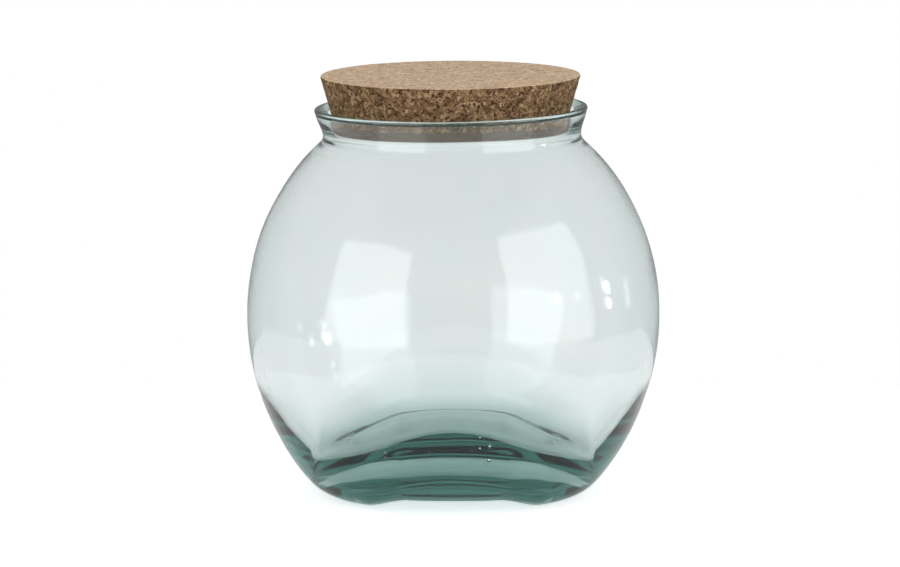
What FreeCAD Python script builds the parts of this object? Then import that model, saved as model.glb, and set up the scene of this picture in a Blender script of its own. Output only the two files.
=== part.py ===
import FreeCAD, Part
import os
import Sketcher

# Storage jar of thick recycled glass, a little flattened front to back, with a tapered cork stopper.
# Millimetres, +Z up. The origin is on the table, under the middle of the jar. The wide side faces -Y.

document = FreeCAD.newDocument("jar_with_cork_lid")

# Driving dimensions
sizes = {
    # belly of the jar
    "body_width": 200.0,
    "body_depth": 188.0,
    "equator_height": 84.5,
    "foot_width": 127.0,
    "foot_depth": 117.0,
    "foot_round": 8.2,
    "wall": 3.4,
    "heel_thickening": 3.0,
    # arched base: a hollow channel below, a vaulted floor above that turns up at the front and the back
    "channel_rise": 4.6,
    "channel_width": 84.0,
    "floor_thickness": 13.9,
    "floor_rise": 18.8,
    "floor_span": 120.0,
    "floor_depth": 96.0,
    "heel_tilt": 36.0,
    "floor_round": 9.0,
    "floor_overlap": 2.0,
    # neck and lip
    "bore_diameter": 114.8,
    "neck_wall": 4.8,
    "shoulder_rise": 83.7,
    "shoulder_step": 1.8,
    "neck_rise": 5.3,
    "lip_rise": 11.3,
    "lip_flare": 3.4,
    "lip_width": 3.0,
    "lip_round": 2.2,
    "lip_roll": 2.4,
    "throat_drop": 1.0,
    # cork stopper
    "cork_height": 24.0,
    "cork_spread": 11.0,
    "cork_depth_in_neck": 5.0,
    "cork_clearance": 0.3,
    "cork_edge": 0.8,
}
sheet = document.addObject("Spreadsheet::Sheet", "Sizes")
for row, (name, value) in enumerate(sizes.items(), start=1):
    cell = f"A{row}"
    sheet.set(cell, str(value))
    sheet.setAlias(cell, name)
document.recompute()


def expression(rule):
    """A rule written with [names] of sizes, as an expression on the sheet."""
    for name in sizes:
        rule = rule.replace(f"[{name}]", f"{sheet.Name}.{name}")
    return rule


def number(rule):
    """The value that a rule has now."""
    return float(sheet.evalExpression(expression(rule)))


# Heights and radii that several features share
shoulder_height = "([equator_height] + [shoulder_rise])"
neck_height = f"({shoulder_height} + [neck_rise])"
lip_height = f"({neck_height} + [lip_rise])"
bore_radius = "([bore_diameter] / 2)"
neck_radius = f"({bore_radius} + [neck_wall])"
shoulder_radius = f"({neck_radius} + [shoulder_step])"
lip_radius = f"({neck_radius} + [lip_flare])"
cork_bottom = f"({lip_height} - [cork_depth_in_neck])"
cork_bottom_radius = f"({bore_radius} - [cork_clearance])"
cork_top = f"({cork_bottom} + [cork_height])"
cork_slope = "([cork_spread] / 2 / [cork_height])"
throat_top = f"({lip_height} - [throat_drop])"
throat_top_radius = f"({bore_radius} + ({throat_top} - {cork_bottom}) * {cork_slope})"

# Cross-sections from the foot to the equator, and from there to the shoulder
lower_steps = 4
upper_steps = 4
lower_shares = [step / lower_steps for step in range(lower_steps + 1)]
upper_shares = [step / upper_steps for step in range(1, upper_steps + 1)]

# Two places closer than this are the same place
same_place = 0.001


def lower_half(full, foot, share):
    """Half size below the equator: an ellipse from the foot at share 0 to the full size at share 1."""
    return f"({full} / 2 * sqrt(1 - (1 - ({foot} / {full})^2) * (1 - {share})^2))"


def upper_half(full, share):
    """Half size above the equator: an ellipse from the full size at share 0 to the shoulder at share 1."""
    return f"({full} / 2 * sqrt(1 - (1 - (2 * {shoulder_radius} / {full})^2) * {share}^2))"


def belly(name, bottom, thickness_at):
    """A loft through level ellipses, inside the belly's surface by a thickness that varies."""
    sections = []

    def add_section(half_width, half_depth, height, thickness):
        section = document.addObject("Part::Ellipse", f"{name}_section_{len(sections)}")
        section.setExpression("MajorRadius", expression(f"max({half_width}; {half_depth}) - {thickness}"))
        section.setExpression("MinorRadius", expression(f"min({half_width}; {half_depth}) - {thickness}"))
        section.setExpression("Placement.Rotation.Angle", expression("[body_depth] > [body_width] ? 90 : 0"))
        section.setExpression("Placement.Base.z", expression(height))
        sections.append(section)

    for share in lower_shares:
        height = f"({bottom} + ([equator_height] - {bottom}) * {share})"
        climb = f"({height} / [equator_height])"
        half_width = lower_half("[body_width]", "[foot_width]", climb)
        half_depth = lower_half("[body_depth]", "[foot_depth]", climb)
        add_section(half_width, half_depth, height, thickness_at(share))
    for share in upper_shares:
        height = f"([equator_height] + [shoulder_rise] * {share})"
        half_width = upper_half("[body_width]", share)
        half_depth = upper_half("[body_depth]", share)
        add_section(half_width, half_depth, height, thickness_at(1))
    solid = document.addObject("Part::Loft", name)
    solid.Sections = sections
    solid.Solid = True
    solid.Ruled = False
    return solid


def barrel(name, crown, rise, span, towards=1, start="0", tilt="0"):
    """A cylinder laid from front to back. Its top passes the crown and falls by the rise at half the span.

    It may climb towards the back (1) or the front (-1), by a tilt from the level, from a start off the
    middle.
    """
    radius = f"((({span} / 2)^2 + {rise}^2) / (2 * {rise}))"
    solid = document.addObject("Part::Cylinder", name)
    turn = FreeCAD.Rotation(FreeCAD.Vector(-towards, 0, 0), 90)
    solid.Placement = FreeCAD.Placement(FreeCAD.Vector(), turn)
    solid.setExpression("Radius", expression(radius))
    solid.setExpression("Height", expression("2 * [body_depth]"))
    solid.setExpression("Placement.Rotation.Angle", expression(f"90 - {tilt}"))
    solid.setExpression("Placement.Base.y", expression(
        f"{towards} * ({start} + {radius} * sin({tilt}) - [body_depth] * cos({tilt}))"))
    solid.setExpression("Placement.Base.z", expression(
        f"{crown} - {radius} * cos({tilt}) - [body_depth] * sin({tilt})"))
    return solid


def cut(name, base, tool):
    """The base with the tool's volume taken away."""
    result = document.addObject("Part::Cut", name)
    result.Base = base
    result.Tool = tool
    result.Refine = False
    return result


def rounded(name, base, radius, below):
    """The base with every edge that lies below a height rounded."""
    document.recompute()
    result = document.addObject("Part::Fillet", name)
    result.Base = base
    edges = enumerate(base.Shape.Edges, start=1)
    result.Edges = [(index, radius, radius) for index, edge in edges if edge.BoundBox.ZMax < below]
    return result


def first_arc(edge, first, last, corners):
    """An edge's arc as it is drawn before the sketch solves it."""
    kind, rule = edge
    chord = last - first
    middle = (first + last) / 2
    if kind == "level":
        level = corners[rule]
        other = last if level == first else first
        reach = (chord.Length ** 2) / (2 * (other.x - level.x))
        centre = level + FreeCAD.Vector(reach, 0, 0)
        middle = centre + (middle - centre).normalize() * abs(reach)
    else:
        radius = number(rule)
        outwards = FreeCAD.Vector(chord.y, -chord.x, 0).normalize()
        middle = middle + outwards * (radius - (radius ** 2 - (chord.Length / 2) ** 2) ** 0.5)
    return Part.Arc(first, middle, last)


def outline(sketch, rules, edges):
    """Draw a closed outline of (radius, height) corners and bind it to the sheet.

    Each edge runs from its own corner to the next: ("line", None), ("level", k) for an arc with its centre
    level with corner k, or ("round", rule) for an arc of that radius that bulges outwards.
    """
    corners = [FreeCAD.Vector(number(radius), number(height), 0) for radius, height in rules]
    drawn = []
    for index, edge in enumerate(edges):
        first = corners[index]
        last = corners[(index + 1) % len(corners)]
        shape = Part.LineSegment(first, last) if edge[0] == "line" else first_arc(edge, first, last, corners)
        geometry = sketch.addGeometry(shape, False)
        at_start = sketch.getPoint(geometry, 1).distanceToPoint(first) < same_place
        drawn.append((geometry, 1, 2) if at_start else (geometry, 2, 1))
    for index, (kind, rule) in enumerate(edges):
        geometry, start, _ = drawn[index]
        before, _, finish = drawn[index - 1]
        sketch.addConstraint(Sketcher.Constraint("Coincident", before, finish, geometry, start))
        for axis, place in zip("XY", rules[index]):
            bound(sketch, f"corner_{index}_{axis}", place, f"Distance{axis}", -1, 1, geometry, start)
        if kind == "level":
            level, level_start, _ = drawn[rule]
            sketch.addConstraint(Sketcher.Constraint("Horizontal", geometry, 3, level, level_start))
        elif kind == "round":
            bound(sketch, f"round_{index}", rule, "Radius", geometry)


def bound(sketch, name, rule, *constraint):
    """Add a dimension to the sketch and tie it to a rule."""
    index = sketch.addConstraint(Sketcher.Constraint(*constraint, number(rule)))
    sketch.renameConstraint(index, name)
    sketch.setExpression(f"Constraints.{name}", expression(rule))


def turned(name, rules, edges):
    """A body turned about Z from an outline, and its turned feature."""
    body = document.addObject("PartDesign::Body", name)
    plane = next(plane for plane in body.Origin.OriginFeatures if plane.Role == "XZ_Plane")
    sketch = body.newObject("Sketcher::SketchObject", f"{name}_outline")
    sketch.AttachmentSupport = (plane, [""])
    sketch.MapMode = "FlatFace"
    outline(sketch, rules, edges)
    feature = body.newObject("PartDesign::Revolution", f"{name}_turned")
    feature.Profile = sketch
    feature.ReferenceAxis = (sketch, ["V_Axis"])
    feature.Angle = 360
    return body, feature


straight = ("line", None)

# Outside of the belly, with the channel under its base and a rounded foot along each side of it
outside = belly("outside", "0", lambda share: "0")
channel = barrel("channel", "[channel_rise]", "[channel_rise]", "[channel_width]")
arched_outside = cut("arched_outside", outside, channel)
footed_outside = rounded(
    "footed_outside", arched_outside, sheet.get("foot_round"), number("[channel_rise]") + same_place)

# Inside of the belly: the wall thickens towards the base. The floor is a vault over the channel, and at the
# front and the back it turns up against the wall, so that the heel of the glass is thickest there.
floor_crown = "([channel_rise] + [floor_thickness])"
inside_bottom = f"({floor_crown} - [floor_rise] - [floor_overlap])"
inside = belly("inside", inside_bottom, lambda share: f"([wall] + [heel_thickening] * (1 - {share})^4)")
vault = barrel("vault", floor_crown, "[floor_rise]", "[floor_span]")
cavity = cut("vaulted_inside", inside, vault)
for name, towards in (("back_heel", 1), ("front_heel", -1)):
    heel = barrel(
        name, floor_crown, "[floor_rise]", "[floor_span]", towards, "([floor_depth] / 2)", "[heel_tilt]")
    cavity = cut(f"{name}_inside", cavity, heel)
cavity = rounded("cavity", cavity, sheet.get("floor_round"), number("[equator_height]"))
shell = cut("shell", footed_outside, cavity)

# Neck and lip as one turned ring: up the outside from the shoulder, then down the throat that holds the cork
neck_ring, _ = turned(
    "neck_ring",
    [
        (f"{shoulder_radius} - [wall]", shoulder_height),
        (shoulder_radius, shoulder_height),
        (neck_radius, neck_height),
        (lip_radius, lip_height),
        (f"{lip_radius} - [lip_width]", f"{lip_height} + [lip_roll]"),
        (throat_top_radius, throat_top),
        (bore_radius, cork_bottom),
        (bore_radius, neck_height),
    ],
    [
        straight,
        ("level", 2),
        ("level", 2),
        ("round", "[lip_round]"),
        straight,
        straight,
        straight,
        ("level", 7),
    ])
glass_jar = document.addObject("Part::Fuse", "glass_jar")
glass_jar.Base = shell
glass_jar.Tool = neck_ring
glass_jar.Refine = False

# Cork stopper: a tapered disc with softened edges, in the throat by its lower end
cork_lid, cork_disc = turned(
    "cork_lid",
    [
        ("0", cork_bottom),
        (cork_bottom_radius, cork_bottom),
        (f"{cork_bottom_radius} + [cork_spread] / 2", cork_top),
        ("0", cork_top),
    ],
    [straight] * 4)
document.recompute()
rims = [f"Edge{index}" for index, edge in enumerate(cork_disc.Shape.Edges, start=1) if edge.isClosed()]
cork_edges = cork_lid.newObject("PartDesign::Fillet", "cork_edges")
cork_edges.Base = (cork_disc, rims)
cork_edges.setExpression("Radius", expression("[cork_edge]"))
document.recompute()

# Check everything, then write one file for each piece
faults = [item.Name for item in document.Objects if {"Invalid", "Error"} & set(item.State)]
if faults:
    raise RuntimeError(f"failed features: {faults}")
os.makedirs("parts", exist_ok=True)
for piece in (glass_jar, cork_lid):
    if piece.Shape.isNull() or not piece.Shape.isValid() or len(piece.Shape.Solids) != 1:
        raise RuntimeError(f"{piece.Label} is not one sound solid")
    piece.Shape.exportStep(f"parts/{piece.Label}.step")
    box = piece.Shape.optimalBoundingBox()
    print(f"{piece.Label}: {piece.Shape.Volume / 1000:.1f} cm3, {box.XLength:.1f} x {box.YLength:.1f} mm, "
          f"from {box.ZMin:.2f} to {box.ZMax:.2f} mm high")
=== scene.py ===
# %% [markdown]
# A storage jar of thick, green-tinted glass with a stopper of pressed cork.
# The packed model comes first: it is the frame, in metres, that every new surface has to fit.
# The boxes of its two pieces give the sizes that the surfaces below are worked out from.

# %% Load the frame
import math

import bpy
import numpy as np
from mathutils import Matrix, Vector


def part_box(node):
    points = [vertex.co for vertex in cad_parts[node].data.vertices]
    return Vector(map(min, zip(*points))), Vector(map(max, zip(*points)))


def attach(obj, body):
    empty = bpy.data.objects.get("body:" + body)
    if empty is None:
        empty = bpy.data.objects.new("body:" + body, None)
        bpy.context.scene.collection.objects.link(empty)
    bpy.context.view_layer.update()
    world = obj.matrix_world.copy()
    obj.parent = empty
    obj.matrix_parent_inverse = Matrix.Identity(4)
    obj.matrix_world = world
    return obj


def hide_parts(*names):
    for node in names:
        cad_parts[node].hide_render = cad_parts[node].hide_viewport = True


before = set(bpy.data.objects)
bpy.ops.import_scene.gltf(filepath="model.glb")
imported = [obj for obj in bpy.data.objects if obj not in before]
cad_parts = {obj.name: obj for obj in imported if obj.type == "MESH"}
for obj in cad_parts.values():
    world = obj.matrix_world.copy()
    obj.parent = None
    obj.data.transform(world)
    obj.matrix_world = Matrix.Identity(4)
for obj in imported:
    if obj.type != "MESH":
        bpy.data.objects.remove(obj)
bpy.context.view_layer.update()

mm = 0.001
jar_low, jar_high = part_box("glass_jar")
cork_low, cork_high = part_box("cork_lid")
print("jar", [round(side / mm, 1) for side in jar_high - jar_low], "mm")
print("cork", [round(side / mm, 1) for side in cork_high - cork_low], "mm")

# %% [markdown]
# Both pieces are closed surfaces over a grid: one direction runs along a profile, from one pole
# to the other, and the second runs round the upright axis. A modifier such as Screw could turn a
# profile too, but the jar is oval and its base is arched, so the points are worked out as arrays.
# The belly bulges like an egg cut off at the foot and the shoulder: upwards, its half-width
# follows one ellipse below the widest place and another above it.

# %% Width and depth of the belly
half_width = jar_high.x
half_depth = jar_high.y
widest_height = 84.5 * mm
foot_half_width = 63.5 * mm
foot_half_depth = 58.5 * mm
shoulder_height = 167.3 * mm
shoulder_radius = 66 * mm


def belly_half(height, widest, foot):
    """Half-width at a height: widest * sqrt(1 - ((height - widest_height) / reach)^2), with the
    reach that brings the curve to the foot below and to the round shoulder above."""
    low_reach = widest_height / math.sqrt(1 - (foot / widest) ** 2)
    high_reach = (shoulder_height - widest_height) / math.sqrt(1 - (shoulder_radius / widest) ** 2)
    reach = np.where(height < widest_height, low_reach, high_reach)
    return widest * np.sqrt(1 - ((height - widest_height) / reach) ** 2)


levels = np.array([0, widest_height, shoulder_height])
print("half-width at the foot, the widest place and the shoulder:",
      np.round(belly_half(levels, half_width, foot_half_width) / mm, 1), "mm")

# %% [markdown]
# The foot is rounded, and a shallow channel from front to back lifts the middle of the underside,
# so that the jar stands on a lobe at the left and another at the right. Each row of the profile
# therefore carries two weights besides its sizes: how far the channel under the base lifts it,
# and how far the vault of the floor does.

# %% Outside of the belly
foot_round = 6.4 * mm
channel_fade = 26 * mm
pole_share = 0.03
flat_rows = 24
foot_rows = 16
wall_rows = 90


def smooth_step(low, high, value):
    """0 below low, 1 above high and 3t^2 - 2t^3 between them."""
    t = np.clip((value - low) / (high - low), 0, 1)
    return t * t * (3 - 2 * t)


def corner(height, radius):
    """How far a quarter round holds a surface back at a height above its flat:
    radius * (1 - sqrt(1 - t^2)), where t = 1 - height / radius."""
    t = np.clip(1 - height / radius, 0, 1)
    return radius * (1 - np.sqrt(1 - t * t))


def profile(half_x, half_y, height, underside=0, floor=0):
    """Rows of the jar's profile: half-width, half-depth, height and the two weights."""
    columns = np.broadcast_arrays(half_x, half_y, height, underside, floor)
    return np.stack([np.asarray(column, float) for column in columns], -1)


def outside_rows():
    """Underside from its middle outwards, the rounded foot, then the belly up to the shoulder."""
    share = np.linspace(pole_share, 1, flat_rows)[:-1]
    flat = profile((foot_half_width - foot_round) * share,
                   (foot_half_depth - foot_round) * share, 0, underside=1)
    turn = foot_round * (1 - np.cos(np.linspace(0, math.pi / 2, foot_rows)))
    height = np.concatenate([turn, np.linspace(foot_round, shoulder_height, wall_rows)[1:]])
    held_back = corner(height, foot_round)
    wall = profile(belly_half(height, half_width, foot_half_width) - held_back,
                   belly_half(height, half_depth, foot_half_depth) - held_back,
                   height, underside=smooth_step(0, 1, 1 - height / channel_fade))
    return np.concatenate([flat, wall])


outside = outside_rows()
print("outside:", len(outside), "rows")

# %% [markdown]
# Above the shoulder the jar is round: a short neck, a lip that flares out and rolls over, and a
# throat that narrows to hold the stopper. Six cubic curves carry the profile from one station to
# the next. Two handles between the stations bend each curve, so that it starts in about the
# direction in which the last one ended.

# %% Neck, lip and throat
lip_top = jar_high.z
neck_radius = 62.2 * mm
lip_radius = 65.3 * mm
throat_radius, throat_height = 59.0 * mm, 185.5 * mm
bore_radius, bore_height = 58.5 * mm, 179 * mm
curve_rows = 12

shoulder = (shoulder_radius, shoulder_height)
waist = (neck_radius, 173.5 * mm)
lip_edge = (lip_radius, lip_top - 2.6 * mm)
lip_inside = (63.4 * mm, lip_top - 0.1 * mm)
throat = (throat_radius, throat_height)
bore = (bore_radius, bore_height)
bore_end = (58.8 * mm, 169.5 * mm)
neck_curves = [
    (shoulder, (63.4 * mm, 169.8 * mm), (neck_radius, 171 * mm), waist),
    (waist, (neck_radius, 177 * mm), (64.6 * mm, 181 * mm), lip_edge),
    (lip_edge, (66.3 * mm, lip_top - 0.6 * mm), (65.4 * mm, lip_top + 0.1 * mm), lip_inside),
    (lip_inside, (61.8 * mm, lip_top - 0.5 * mm),
     (throat_radius + 0.6 * mm, throat_height + 0.5 * mm), throat),
    (throat, (throat_radius - 0.4 * mm, throat_height - 1.5 * mm),
     (bore_radius, bore_height + 2 * mm), bore),
    (bore, (bore_radius, 175 * mm), (58.3 * mm, 172.5 * mm), bore_end),
]


def bezier(points, count):
    """count points after the first one of the cubic curve through its end points:
    (1-t)^3 p0 + 3(1-t)^2 t p1 + 3(1-t) t^2 p2 + t^3 p3."""
    first, second, third, last = np.array(points)
    t = np.linspace(0, 1, count + 1)[1:, None]
    s = 1 - t
    return s ** 3 * first + 3 * s * s * t * second + 3 * s * t * t * third + t ** 3 * last


def neck_rows():
    """Shoulder to neck, neck to lip, over the lip, down the funnel and through the throat."""
    radius, height = np.concatenate([bezier(curve, curve_rows) for curve in neck_curves]).T
    return profile(radius, radius, height)


neck = neck_rows()
print("neck, lip and throat:", len(neck), "rows")

# %% [markdown]
# Inside, the wall thickens towards the base into a heel. A tight round joins it to the floor at
# the sides and a wide one at the front and back, where the floor turns up. This is where the
# glass is thickest, and where its green shows. The rows crowd together round that corner.

# %% Inside of the belly and the floor
wall_thickness = 3.4 * mm
floor_edge_height = -2.2 * mm        # before the vault lifts it
vault_fade = 70 * mm
corner_rise = 11 * mm
side_heel, side_heel_height, side_round = 11 * mm, 60 * mm, 5 * mm
front_heel, front_heel_height, front_round = 7 * mm, 21 * mm, 13.6 * mm
below_shoulder = 3 * mm
hollow_rows = 80
corner_rows = 40
corner_crowding = 1.3


def inside_half(rise, widest, foot, heel, heel_height, corner_out):
    """Half-width of the hollow at a rise above the floor's edge: the outside less the wall, less
    the heel's extra heel * (1 - rise / heel_height)^2, less an oval quarter round."""
    height = np.maximum(rise + floor_edge_height, 0)
    extra = heel * np.clip(1 - rise / heel_height, 0, 1) ** 2
    turn = corner(rise, corner_rise) * corner_out / corner_rise
    return belly_half(height, widest, foot) - wall_thickness - extra - turn


def inside_rows():
    """The hollow from under the neck down its wall, round its corner and in to the floor's middle."""
    top = shoulder_height - below_shoulder - floor_edge_height
    quarter = np.linspace(math.pi / 2, 0, corner_rows)
    turn = corner_rise * (1 - np.cos(quarter)) ** corner_crowding
    rise = np.concatenate([np.linspace(top, corner_rise, hollow_rows)[:-1], turn])
    wall = profile(
        inside_half(rise, half_width, foot_half_width, side_heel, side_heel_height, side_round),
        inside_half(rise, half_depth, foot_half_depth, front_heel, front_heel_height, front_round),
        rise + floor_edge_height, floor=1 - smooth_step(0, vault_fade, rise))
    share = np.linspace(1, pole_share, flat_rows)[1:]
    flat = profile(wall[-1, 0] * share, wall[-1, 1] * share, floor_edge_height, floor=1)
    return np.concatenate([wall, flat])


inside = inside_rows()
floor_half_x, floor_half_y = inside[-flat_rows, :2]
print("inside:", len(inside), "rows, with a floor of",
      round(2 * floor_half_x / mm, 1), "by", round(2 * floor_half_y / mm, 1), "mm")

# %% [markdown]
# Glass from a mould is never quite even. A few long, low waves on the surface make its
# reflections swim a little, and the neck leans to one side and tips, with the stopper in it.

# %% Waves and lean
short_wave = 0.6
lean_start, lean_end = 158 * mm, 188 * mm
neck_shift, neck_tip = 1.1 * mm, 0.0147
lean_drop = neck_tip * lip_radius


def waves(x, y, z):
    """Long low waves from -1 to 1: the weighted mean of sines whose lengths are about 23 to 52 mm
    and share no common beat. The shortest has the smallest weight."""
    long_waves = (np.sin(105 * x + 60 * z + 1.0) + np.sin(131 * y - 83 * z + 2.1)
                  + np.sin(171 * z + 47 * x - 71 * y))
    return (long_waves + short_wave * np.sin(239 * x - 139 * z + 0.4)) / (3 + short_wave)


def leaning(points, shift, tip):
    """Shift and tip by a share w that grows with height: x - shift w, z - (lean_drop - tip x) w."""
    x, y, z = np.moveaxis(points, -1, 0)
    share = smooth_step(lean_start, lean_end, z)
    return np.stack([x - shift * share, y, z - (lean_drop - tip * x) * share], -1)


print("the neck moves over by", round(neck_shift / mm, 2), "mm and down by",
      round(lean_drop / mm, 2), "mm")

# %% [markdown]
# Now the rows are carried round the axis and the lifts are added: the channel under the base, the
# vault of the floor over it, and a slight dome in the middle of the floor. Near the foot the oval
# is a little squarer than an ellipse.

# %% Jar surface
around = 272
foot_squareness = 0.5
squareness_fade = 50 * mm
channel_rise = 4.0 * mm
channel_flat, channel_end = 22 * mm, 42 * mm
vault_rise = 21.4 * mm
vault_half_width = 64 * mm
vault_power = 2.2
floor_dome = 1.8 * mm
wave_height = 0.25 * mm
wave_start, wave_end = 4 * mm, 30 * mm


def jar_points():
    """(rows, around, 3): x = half_x c r and y = half_y s r for c, s the cosine and sine of an angle
    and r = (|c|^n + |s|^n)^(-1/n), which is 1 for n = 2 and squares the oval for a larger n. The
    channel lifts z by a smooth step in |x|, the vault by rise * (1 - |x / half|^power) and the
    dome by a low bowl turned over. The waves only ever draw the surface in."""
    rows = np.concatenate([outside, neck, inside])
    half_x, half_y, height, underside, floor = [column[:, None] for column in rows.T]
    angle = np.linspace(0, 2 * math.pi, around, endpoint=False)
    across, along = np.cos(angle), np.sin(angle)
    power = 2 + foot_squareness * (1 - smooth_step(0, squareness_fade, height))
    reach = (np.abs(across) ** power + np.abs(along) ** power) ** (-1 / power)
    x = half_x * across * reach
    y = half_y * along * reach
    channel = channel_rise * (1 - smooth_step(channel_flat, channel_end, np.abs(x)))
    vault = vault_rise * (1 - np.clip(np.abs(x) / vault_half_width, 0, 1) ** vault_power)
    dome_x, dome_y = floor_half_x + side_round, floor_half_y + front_round
    dome = floor_dome * np.clip(1 - (x / dome_x) ** 2 - (y / dome_y) ** 2, 0, 1)
    z = height + underside * channel + floor * vault + (floor > 0) * dome
    drawn_in = wave_height / half_width * (1 + waves(x, y, z)) * smooth_step(wave_start, wave_end, z)
    keep = 1 - drawn_in
    return leaning(np.stack([x * keep, y * keep, z], -1), neck_shift, neck_tip)


jar_grid = jar_points()
print("jar grid:", jar_grid.shape[0], "rows of", jar_grid.shape[1], "points")

# %% [markdown]
# A grid becomes a mesh with two triangles in each of its cells and a fan at either end. The two
# poles are single points, so that no hole or seam is left. The arrays go into the mesh whole.

# %% Grid of points to mesh
def closed_surface(points):
    """Vertices and triangles of a tube of points (rows, columns, 3) that closes round its columns
    and ends in a pole at either end, each pole being the mean of its nearest row."""
    rows, columns = points.shape[:2]
    index = np.arange(rows * columns).reshape(rows, columns)
    below, above = index[:-1], index[1:]
    below_next, above_next = np.roll(below, -1, 1), np.roll(above, -1, 1)
    first_pole, last_pole = rows * columns, rows * columns + 1
    start, start_next = index[0], np.roll(index[0], -1)
    end, end_next = index[-1], np.roll(index[-1], -1)
    triangles = np.concatenate([
        np.stack([below, below_next, above_next], -1).reshape(-1, 3),
        np.stack([below, above_next, above], -1).reshape(-1, 3),
        np.stack([np.full(columns, first_pole), start_next, start], -1),
        np.stack([np.full(columns, last_pole), end, end_next], -1),
    ])
    poles = np.stack([points[0].mean(0), points[-1].mean(0)])
    return np.concatenate([points.reshape(-1, 3), poles]), triangles


def make_piece(name, surfaces):
    """One smooth mesh object from a list of (vertices, triangles), joined without welding."""
    starts = np.cumsum([0] + [len(vertices) for vertices, _ in surfaces[:-1]])
    vertices = np.concatenate([vertices for vertices, _ in surfaces])
    triangles = np.concatenate([faces + start for (_, faces), start in zip(surfaces, starts)])
    mesh = bpy.data.meshes.new(name)
    mesh.from_pydata(vertices, [], triangles)
    mesh.polygons.foreach_set("use_smooth", np.ones(len(triangles), bool))
    mesh.update()
    piece = bpy.data.objects.new(name, mesh)
    bpy.context.scene.collection.objects.link(piece)
    print(name, len(vertices), "vertices,", len(triangles), "triangles")
    return piece


jar_surface = closed_surface(jar_grid)
print("jar surface:", len(jar_surface[1]), "triangles")

# %% [markdown]
# Recycled glass keeps some of the air that was stirred into it. Two bubbles and a sprinkle of
# smaller ones hang in the thick front of the base, where they catch the light. Each is a small
# sphere with its faces turned round, so that they look out of the glass and into the hollow, as
# the jar's own faces do.

# %% Bubbles, and the jar as one piece
large_bubbles = [((12.2 * mm, -77.0 * mm, 35.6 * mm), 0.65 * mm),
                 ((16.3 * mm, -72.0 * mm, 29.4 * mm), 0.95 * mm)]
seed_count = 18
seed_least, seed_most = 0.2 * mm, 0.45 * mm
seed_span = 42 * mm
seed_low, seed_high = 23 * mm, 35 * mm
seed_shallow, seed_deep = 3.5 * mm, 8 * mm
bubble_rows, bubble_around = 11, 12


def bubble(centre, radius):
    """A hollow sphere, centre + radius * (sin p cos a, sin p sin a, -cos p), with its faces reversed."""
    polar = np.linspace(0, math.pi, bubble_rows)[1:-1, None]
    angle = np.linspace(0, 2 * math.pi, bubble_around, endpoint=False)
    ring = [np.sin(polar) * np.cos(angle), np.sin(polar) * np.sin(angle), -np.cos(polar) + 0 * angle]
    vertices, triangles = closed_surface(centre + radius * np.stack(ring, -1))
    return vertices, triangles[:, ::-1]


def seed_bubbles(seed=11):
    """Seeded places in the front of the base, each at a drawn depth behind the belly's oval
    outside, front = half_depth * sqrt(1 - (x / half_width)^2) at that height."""
    draw = np.random.default_rng(seed)
    x = draw.uniform(-seed_span, seed_span, seed_count)
    z = draw.uniform(seed_low, seed_high, seed_count)
    share = x / belly_half(z, half_width, foot_half_width)
    front = belly_half(z, half_depth, foot_half_depth) * np.sqrt(1 - share ** 2)
    y = draw.uniform(seed_shallow, seed_deep, seed_count) - front
    radius = draw.uniform(seed_least, seed_most, seed_count)
    return [(centre, size) for *centre, size in zip(x, y, z, radius)]


hollows = [bubble(np.array(centre), radius) for centre, radius in large_bubbles + seed_bubbles()]
jar = make_piece("jar_glass", [jar_surface] + hollows)
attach(jar, "jar")
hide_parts("glass_jar")

# %% [markdown]
# The stopper is a tapered disc cut from pressed cork. Its edges are crisp: a quarter round of less
# than a millimetre leads from the side to either flat face.

# %% Cork outline
cork_top_radius = cork_high.x
cork_taper = 5.5 * mm
cork_top_height = cork_high.z - 1.2 * mm
cork_bottom_height = cork_low.z + 2.2 * mm
cork_edge = 0.8 * mm
cork_pole_share = 0.02
cork_flat_rows, cork_edge_rows, cork_side_rows = 24, 5, 46


def cork_rows():
    """Radius and height of the cork's outline, from the middle of its underside to that of its top."""
    low, high = cork_bottom_height, cork_top_height
    bottom_radius = cork_top_radius - cork_taper
    turn = np.linspace(0, math.pi / 2, cork_edge_rows)
    share = np.linspace(cork_pole_share, 1, cork_flat_rows)[:-1]
    under = np.stack([(bottom_radius - cork_edge) * share, np.full(share.size, low)], -1)
    lower = np.stack([bottom_radius - cork_edge * (1 - np.sin(turn)),
                      low + cork_edge * (1 - np.cos(turn))], -1)
    rise = np.linspace(0, 1, cork_side_rows)[1:-1]
    side = np.stack([bottom_radius + cork_taper * rise,
                     low + cork_edge + (high - low - 2 * cork_edge) * rise], -1)
    upper = np.stack([cork_top_radius - cork_edge * (1 - np.cos(turn)),
                      high - cork_edge * (1 - np.sin(turn))], -1)
    top = np.stack([(cork_top_radius - cork_edge) * share[::-1], np.full(share.size, high)], -1)
    return np.concatenate([under, lower, side, upper, top])


cork_outline = cork_rows()
print("cork outline:", len(cork_outline), "rows,",
      round((cork_top_height - cork_bottom_height) / mm, 1), "mm thick")

# %% [markdown]
# Grains break out of the side and the rim of such a disc. A fine, seeded set of waves roughens
# them, and it only ever takes cork away, so that the stopper stays inside its solid.

# %% Cork surface
cork_around = 480
cork_roughness = 0.16 * mm
grain_short, grain_long = 3 * mm, 8 * mm
bite_start, bite_full = 0.5, 0.95
cork_shift, cork_tip = 1.35 * mm, 0.0065


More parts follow.
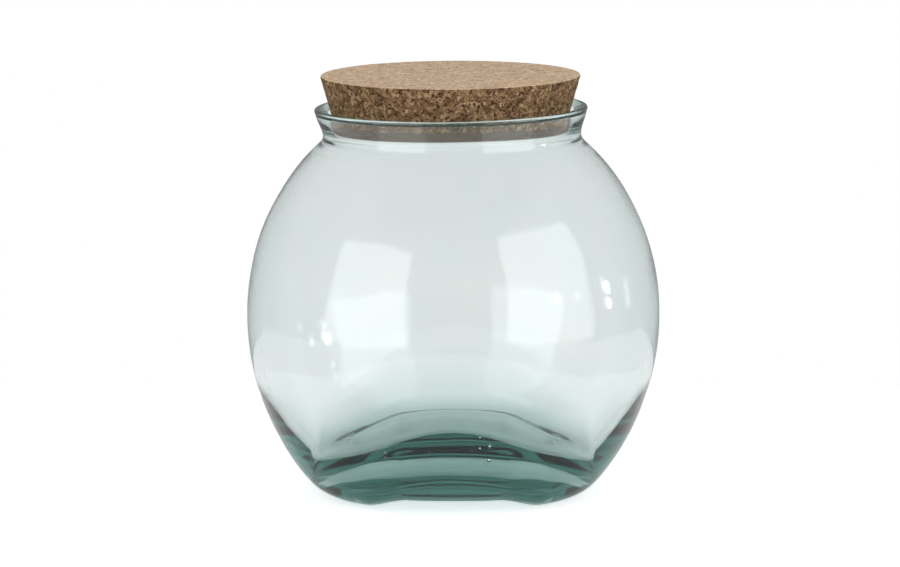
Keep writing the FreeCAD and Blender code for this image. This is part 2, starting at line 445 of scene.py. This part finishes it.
def grain(points, seed=7, count=60):
    """Seeded roughness, 0.5 + (sum of sines) / sqrt(2 count) cut off at 0 and 1: each sine runs in
    a random direction, with a length between the short and the long grain."""
    draw = np.random.default_rng(seed)
    direction = draw.normal(size=(count, 3))
    direction /= np.linalg.norm(direction, axis=1)[:, None]
    wave = direction * (2 * math.pi / draw.uniform(grain_short, grain_long, count))[:, None]
    total = np.sin(points @ wave.T + draw.uniform(0, 2 * math.pi, count)).sum(-1)
    return np.clip(0.5 + total / math.sqrt(2 * count), 0, 1)


def cork_points():
    """(rows, around, 3): the outline turned round the axis, (r cos a, r sin a, z), then eaten into
    by the grain, the more the nearer to the rim."""
    angle = np.linspace(0, 2 * math.pi, cork_around, endpoint=False)
    radius, height = cork_outline[:, :1], cork_outline[:, 1:]
    x = radius * np.cos(angle)
    y = radius * np.sin(angle)
    points = np.stack([x, y, height + 0 * x], -1)
    near_rim = smooth_step(bite_start, bite_full, radius / cork_top_radius)
    keep = 1 - cork_roughness * grain(points) * near_rim / cork_top_radius
    return leaning(np.stack([x * keep, y * keep, points[..., 2]], -1), cork_shift, cork_tip)


cork = make_piece("cork_stopper", [closed_surface(cork_points())])
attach(cork, "lid")
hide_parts("cork_lid")

# %% [markdown]
# Materials are node graphs. So that the maths in them reads as maths, a small class wraps a
# socket, and its operators add Math nodes.

# %% Shader expressions
class Wire:
    """An output socket of a node tree, with operators that add Math nodes behind it."""

    def __init__(self, tree, socket):
        self.tree = tree
        self.socket = socket

    def math(self, operation, *values, clamp=False):
        """The result of a Math node on some values, clamped to 0 and 1 if asked."""
        node = self.tree.nodes.new("ShaderNodeMath")
        node.operation = operation
        node.use_clamp = clamp
        for slot, value in zip(node.inputs, values):
            plug(self.tree, slot, value)
        return Wire(self.tree, node.outputs[0])

    def __add__(self, other):
        return self.math("ADD", self, other)

    def __sub__(self, other):
        return self.math("SUBTRACT", self, other)

    def __mul__(self, other):
        return self.math("MULTIPLY", self, other)

    def __truediv__(self, other):
        return self.math("DIVIDE", self, other)

    def __rsub__(self, other):
        return self.math("SUBTRACT", other, self)

    def __rtruediv__(self, other):
        return self.math("DIVIDE", other, self)

    __radd__ = __add__
    __rmul__ = __mul__

    def most(self, other):
        return self.math("MAXIMUM", self, other)

    def clamped(self):
        return self.math("ADD", self, 0.0, clamp=True)


def plug(tree, slot, value):
    """Link a Wire to an input, or set the input's own value."""
    if isinstance(value, Wire):
        tree.links.new(value.socket, slot)
    else:
        slot.default_value = value


print("operators ready:", ", ".join(name for name in vars(Wire) if name.startswith("__")))

# %% [markdown]
# Every other node comes from one method, which takes its type, its settings and what goes into
# its sockets. The stops of a colour ramp are settings too, and are set before any link is made.

# %% Node graphs
class Graph:
    """A node tree with one method that adds any node."""

    def __init__(self, tree):
        self.tree = tree
        tree.nodes.clear()

    def node(self, kind, settings=None, sockets=None, output=0, stops=None):
        """Add a node of a kind, set its settings, fill its sockets and give one output as a Wire."""
        node = self.tree.nodes.new(kind)
        for name, value in (settings or {}).items():
            setattr(node, name, value)
        for element, (position, shade) in zip(ramp_elements(node, stops), stops or []):
            element.position = position
            element.color = shade
        for name, value in (sockets or {}).items():
            plug(self.tree, node.inputs[name], value)
        return Wire(self.tree, node.outputs[output]) if node.outputs else None


def ramp_elements(node, stops):
    """The elements of a colour ramp, as many as there are stops."""
    if not stops:
        return []
    elements = node.color_ramp.elements
    for position, _ in stops[2:]:
        elements.new(position)
    return elements


print("a graph's method:", ", ".join(name for name in vars(Graph) if not name.startswith("_")))

# %% [markdown]
# A few short functions name what comes back in each material: colours, a blend of two of them, soft
# noise, and the kind of ray that is being followed.

# %% Colours and nodes that come back
def blend(graph, share, low, high):
    """Colour that goes from low to high as the share goes from 0 to 1."""
    return graph.node("ShaderNodeMix", {"data_type": "RGBA"}, {0: share, 6: low, 7: high}, output=2)


def object_place(graph):
    """The place on the object, in its own coordinates."""
    return graph.node("ShaderNodeTexCoord", output="Object")


def noise(graph, place, scale, detail, output=0):
    """Soft noise from 0 to 1 at a place."""
    return graph.node("ShaderNodeTexNoise", None,
                      {"Vector": place, "Scale": scale, "Detail": detail}, output)


def ray(graph, kind):
    """1 for a ray of a kind, such as Camera or Shadow, and 0 for the others."""
    return graph.node("ShaderNodeLightPath", output="Is " + kind + " Ray")


def colour(red, green, blue):
    """A linear colour with full alpha."""
    return (red, green, blue, 1.0)


def grey(level):
    """A linear grey, with white at 1."""
    return colour(level, level, level)


def new_material(name):
    """A material with an empty node tree, and the graph that fills it."""
    material = bpy.data.materials.new(name)
    material.use_nodes = True
    return material, Graph(material.node_tree)


def dress(piece, material):
    """Put a material on a piece and say how large its graph is."""
    piece.data.materials.append(material)
    print(piece.name, "is dressed in", material.name, "with", len(material.node_tree.nodes), "nodes")


print("pieces to dress:", jar.name, "and", cork.name)

# %% [markdown]
# The glass is clear, and its tint comes from its thickness: light that travels through the base
# loses its red, while the thin wall stays nearly grey. Volume Absorption does exactly that. A glass
# shader would throw a dark shadow, because lamps aren't found through it, so shadow rays take a
# transparent shader instead. A faint bump stands for the skin that the mould leaves, and a slow
# swirl tints it a little. Above the base the surface is slightly blurred.

# %% Glass material
glass_bend = 1.52
glass_tint = colour(0.25, 0.58, 0.54)
glass_density = 24.0
belly_blur = 0.07
blur_start, blur_end = 45 * mm, 75 * mm
swirl_scale, swirl_detail = 38.0, 1.0
swirl_tint = colour(0.955, 0.985, 0.98)
mould_skin, skin_depth = 0.2, 0.4 * mm
shadow_tint = colour(0.95, 0.97, 0.965)


def glass_material():
    """Clear glass that absorbs red with depth, and lets the lamps' light through to the table."""
    material, graph = new_material("green_tinted_glass")
    place = object_place(graph)
    swirl = noise(graph, place, swirl_scale, swirl_detail)
    skin = graph.node("ShaderNodeBump", None,
                      {"Strength": mould_skin, "Distance": skin_depth, "Height": swirl})
    height = graph.node("ShaderNodeSeparateXYZ", None, {"Vector": place}, output="Z")
    blur = ((height - blur_start) / (blur_end - blur_start)).clamped() * belly_blur
    clear = graph.node("ShaderNodeBsdfPrincipled", None, {
        "Base Color": blend(graph, swirl, grey(1), swirl_tint), "Roughness": blur,
        "IOR": glass_bend, "Transmission Weight": 1.0, "Normal": skin})
    through = graph.node("ShaderNodeBsdfTransparent", None, {"Color": shadow_tint})
    surface = graph.node("ShaderNodeMixShader", None,
                         {0: ray(graph, "Shadow"), 1: clear, 2: through})
    tint = graph.node("ShaderNodeVolumeAbsorption", None,
                      {"Color": glass_tint, "Density": glass_density})
    graph.node("ShaderNodeOutputMaterial", None, {"Surface": surface, "Volume": tint})
    return material


dress(jar, glass_material())

# %% [markdown]
# Pressed cork is a mass of granules, a few millimetres across, glued together with finer crumbs
# between them. Each has its own brown. Voronoi cells give them: a cell's random colour picks the
# brown, and the distance to its edge the joint. Noise moves the places about before the cells are
# drawn, so that their edges aren't straight.

# %% Cork granules
granule_scale, crumb_scale = 520.0, 1200.0
jumble_scale, jumble_detail = 420.0, 2.0
jumble_reach = 0.9 * mm


def cork_granules(graph, place):
    """A random shade for each granule and each crumb, and the distance to a granule's edge."""
    jumble = noise(graph, place, jumble_scale, jumble_detail, output="Color")
    bent = graph.node("ShaderNodeVectorMath", {"operation": "MULTIPLY_ADD"},
                      {0: jumble, 1: (jumble_reach, jumble_reach, jumble_reach), 2: place})
    large = {"Vector": bent, "Scale": granule_scale}
    small = {"Vector": bent, "Scale": crumb_scale}
    granule_colour = graph.node("ShaderNodeTexVoronoi", None, large, output="Color")
    crumb_colour = graph.node("ShaderNodeTexVoronoi", None, small, output="Color")
    granule = graph.node("ShaderNodeSeparateColor", None, {"Color": granule_colour})
    crumb = graph.node("ShaderNodeSeparateColor", None, {"Color": crumb_colour})
    gap = graph.node("ShaderNodeTexVoronoi", {"feature": "DISTANCE_TO_EDGE"}, large)
    return granule, crumb, gap


print("granules of about", round(1 / granule_scale / mm, 1), "mm and crumbs of",
      round(1 / crumb_scale / mm, 1), "mm")

# %% [markdown]
# Dark bark shows in the joints and in small pits. The top is paler than the side, partly because it
# is sanded and partly as painted light from above. Two colour ramps hold the browns, and the way a
# face points tells the top from the side. The same darks press the bump in, so that the pits look
# like pits.

# %% Cork material
side_browns = [(0.0, colour(0.035, 0.016, 0.006)), (0.35, colour(0.115, 0.064, 0.028)),
               (0.7, colour(0.225, 0.136, 0.067)), (1.0, colour(0.40, 0.27, 0.155))]
# The top's browns are paler: sanded cork, and painted light from above as well.
top_browns_sanded_and_painted_lit = [(0.0, colour(0.33, 0.21, 0.115)), (0.5, colour(0.61, 0.44, 0.285)),
              (1.0, colour(0.86, 0.69, 0.50))]
bark = colour(0.03, 0.014, 0.006)
side_granule, side_crumb, side_cloud, side_less = 0.55, 0.35, 0.3, 0.04
top_granule, top_crumb, top_cloud, top_less = 0.45, 0.4, 0.5, 0.18
top_sharpness, top_start = 4.0, 2.0
cloud_scale, cloud_detail = 260.0, 4.0
joint_sharpness, joint_depth = 8.0, 0.8
patch_sharpness, patch_start = 2.4, 0.8
fleck_scale, fleck_detail = 760.0, 2.0
pit_start, pit_sharpness, pit_depth = 0.54, 12.0, 0.95
top_darkness = 0.4
dust_scale, dust_detail = 900.0, 3.0
dust_relief, granule_relief = 0.5, 0.25
relief_strength, relief_depth = 0.5, 0.4 * mm
cork_mattness, cork_mattness_range = 0.85, 0.1
cork_shine = 0.2


def cork_material():
    """Brown granules with dark joints and pits, paler on top, partly sanded and partly painted
    light from above, and a relief that follows them.
    """
    material, graph = new_material("pressed_cork")
    place = object_place(graph)
    normal = graph.node("ShaderNodeNewGeometry", output="Normal")
    up = graph.node("ShaderNodeSeparateXYZ", None, {"Vector": normal}, output="Z")
    # Faces that point up take the paler top browns: partly sanded cork, partly painted light from above.
    sanded_and_painted_lit_top = (up * top_sharpness - top_start).clamped()
    granule, crumb, gap = cork_granules(graph, place)
    cloud = noise(graph, place, cloud_scale, cloud_detail)
    side_share = granule * side_granule + crumb * side_crumb + cloud * side_cloud - side_less
    side = graph.node("ShaderNodeValToRGB", None, {"Fac": side_share}, stops=side_browns)
    top_share = crumb * top_crumb + granule * top_granule + cloud * top_cloud - top_less
    top = graph.node("ShaderNodeValToRGB", None, {"Fac": top_share}, stops=top_browns_sanded_and_painted_lit)
    joint = (1.0 - gap * joint_sharpness).clamped()
    patch = (cloud * patch_sharpness - patch_start).clamped()
    fleck = noise(graph, place, fleck_scale, fleck_detail)
    pit = ((fleck - pit_start) * pit_sharpness).clamped()
    dark = (joint * patch * joint_depth).most(pit * pit_depth)
    brown = blend(graph, sanded_and_painted_lit_top, blend(graph, dark, side, bark),
                  blend(graph, dark * top_darkness, top, bark))
    dust = noise(graph, place, dust_scale, dust_detail)
    relief = graph.node("ShaderNodeBump", None, {
        "Strength": relief_strength, "Distance": relief_depth,
        "Height": dust * dust_relief + granule * granule_relief - dark})
    skin = graph.node("ShaderNodeBsdfPrincipled", None, {
        "Base Color": brown, "Roughness": cork_mattness + cloud * cork_mattness_range,
        "Specular IOR Level": cork_shine, "Normal": relief})
    graph.node("ShaderNodeOutputMaterial", None, {"Surface": skin})
    return material


dress(cork, cork_material())

# %% [markdown]
# The jar stands on a plain white table. To the camera the table glows a little, so that it runs into
# the white behind it and still keeps the jar's soft shadow. To a ray that the glass has bent, it
# glows only slightly.

# %% Table
table_half_width = 0.5
table_front, table_back = -3.0, 0.25
table_height = -0.2 * mm
table_white, table_pale = 0.88, 0.9
table_cloud_scale, table_cloud_detail = 3.0, 2.0
table_lift = 0.45
table_glow = 0.08


def table_surface():
    """A flat rectangle just below height 0, wide and deep in front of the jar and short behind it."""
    x, y = np.meshgrid([-table_half_width, table_half_width], [table_front, table_back])
    points = np.stack([x, y, np.full_like(x, table_height)], -1).reshape(-1, 3)
    return points, np.array([[0, 1, 3], [0, 3, 2]])


def table_material():
    """Matt white, with a glow that depends on the kind of ray."""
    material, graph = new_material("white_table")
    cloud = noise(graph, object_place(graph), table_cloud_scale, table_cloud_detail)
    camera_ray = ray(graph, "Camera")
    bent_ray = ray(graph, "Transmission") * (1.0 - camera_ray)
    skin = graph.node("ShaderNodeBsdfPrincipled", None, {
        "Base Color": blend(graph, cloud, grey(table_white), grey(table_pale)),
        "Roughness": 1.0, "Specular IOR Level": 0.0,
        "Emission Color": camera_ray * table_lift + bent_ray * table_glow, "Emission Strength": 1.0})
    graph.node("ShaderNodeOutputMaterial", None, {"Surface": skin})
    return material


table = make_piece("table", [table_surface()])
dress(table, table_material())

# %% [markdown]
# Round the table is a white room. Glass shows nothing but its surroundings, so it matters what each
# kind of ray meets: the camera sees pure white, a ray bent by the glass a light grey, and a ray that
# it throws back a dim room. As a light, the room is a little under white, which keeps the cork's
# browns as they are written. Cycles counts a bent ray as a glossy one too, so it is taken out there.

# %% World
seen_white = 1.0
through_glass = 0.85
in_reflection = 0.3
ambient_light = 0.9

world = bpy.data.worlds.new("white_room")
world.use_nodes = True
room = Graph(world.node_tree)
camera_ray = ray(room, "Camera")
bent_ray = ray(room, "Transmission") * (1.0 - camera_ray)
thrown_ray = ray(room, "Glossy") * (1.0 - camera_ray) * (1.0 - bent_ray)
strength = (ambient_light + camera_ray * (seen_white - ambient_light)
            + thrown_ray * (in_reflection - ambient_light)
            + bent_ray * (through_glass - ambient_light))
sky = room.node("ShaderNodeBackground", None, {"Color": grey(1), "Strength": strength})
room.node("ShaderNodeOutputWorld", None, {"Surface": sky})
bpy.context.scene.world = world
print("world: seen", seen_white, "through glass", through_glass, "mirrored", in_reflection,
      "as light", ambient_light)

# %% [markdown]
# Two soft panels stand on the table in front of the jar, left and right of the camera's view. They
# leave the pale four-sided glints on the belly, and three small lamps beside them leave sparkles. A
# lamp's power follows from how bright it should look: a flat lamp of area A and power P looks
# P / (pi A) bright.

# %% Soft lamps
lamp_distance = 0.55
panel_foot = 0.004
panel_brightness = 1.6
sparkle_side = 0.018
sparkle_tallness = 1.6
sparkle_brightness = 30.0


def flat_lamp(name, bearing, width, foot, head, brightness):
    """An upright lamp that faces the jar's axis, at a bearing in degrees from the camera's side."""
    height = head - foot
    light = bpy.data.lights.new(name, "AREA")
    light.shape = "RECTANGLE"
    light.size = width
    light.size_y = height
    light.energy = brightness * math.pi * width * height
    lamp = bpy.data.objects.new(name, light)
    towards = Vector((math.sin(math.radians(bearing)), -math.cos(math.radians(bearing)), 0))
    lamp.location = towards * lamp_distance + Vector((0, 0, (head + foot) / 2))
    lamp.rotation_euler = (-towards).to_track_quat("-Z", "Y").to_euler()
    bpy.context.scene.collection.objects.link(lamp)
    print(name, "at", [round(place, 2) for place in lamp.location], "with", round(light.energy, 2), "W")


def sparkle_lamp(name, bearing, foot):
    """A small bright lamp, taller than it is wide."""
    head = foot + sparkle_tallness * sparkle_side
    flat_lamp(name, bearing, sparkle_side, foot, head, sparkle_brightness)


flat_lamp("left_panel", bearing=-45, width=0.44, foot=panel_foot, head=0.38, brightness=panel_brightness)
flat_lamp("right_panel", bearing=51, width=0.50, foot=panel_foot, head=0.45, brightness=panel_brightness)
sparkle_lamp("upper_right_sparkle", bearing=86, foot=0.14)
sparkle_lamp("lower_right_sparkle", bearing=86, foot=0.095)
sparkle_lamp("left_sparkle", bearing=-64, foot=0.004)

# %% [markdown]
# The camera looks slightly down on the jar from in front. Its height comes from the slope at which
# it sees the top of the cork, and its lens from how wide the belly is in the picture, so the
# distance can change without changing the size.

# %% Camera
picture_width = 900
belly_pixels = 413.5
axis_pixel = 453.25
film_width = 36
camera_distance = 1.9
cork_sight_height, sight_slope = 203 * mm, 0.1093
camera_height = cork_sight_height + sight_slope * camera_distance
aim_height = 100 * mm

lens = bpy.data.cameras.new("picture_lens")
camera = bpy.data.objects.new("picture_camera", lens)
camera.location = (0, -camera_distance, camera_height)
line_of_sight = Vector((0, 0, aim_height)) - camera.location
camera.rotation_euler = line_of_sight.to_track_quat("-Z", "Y").to_euler()
picture_scale = belly_pixels / picture_width / (2 * half_width)
lens.sensor_width = film_width
lens.lens = film_width * picture_scale * line_of_sight.length
lens.shift_x = (picture_width / 2 - axis_pixel) / picture_width
bpy.context.scene.collection.objects.link(camera)
bpy.context.scene.camera = camera
print("lens", round(lens.lens, 1), "mm")

# %% [markdown]
# Light that enters the thick base bounces many times before it leaves, so the path limits are raised:
# with the usual few bounces those paths end in black.

# %% Settings
glass_bounces = 28
clear_bounces = 32

scene = bpy.context.scene
scene.view_settings.view_transform = "Standard"
scene.cycles.max_bounces = glass_bounces
scene.cycles.transmission_bounces = glass_bounces
scene.cycles.glossy_bounces = glass_bounces
scene.cycles.transparent_max_bounces = clear_bounces
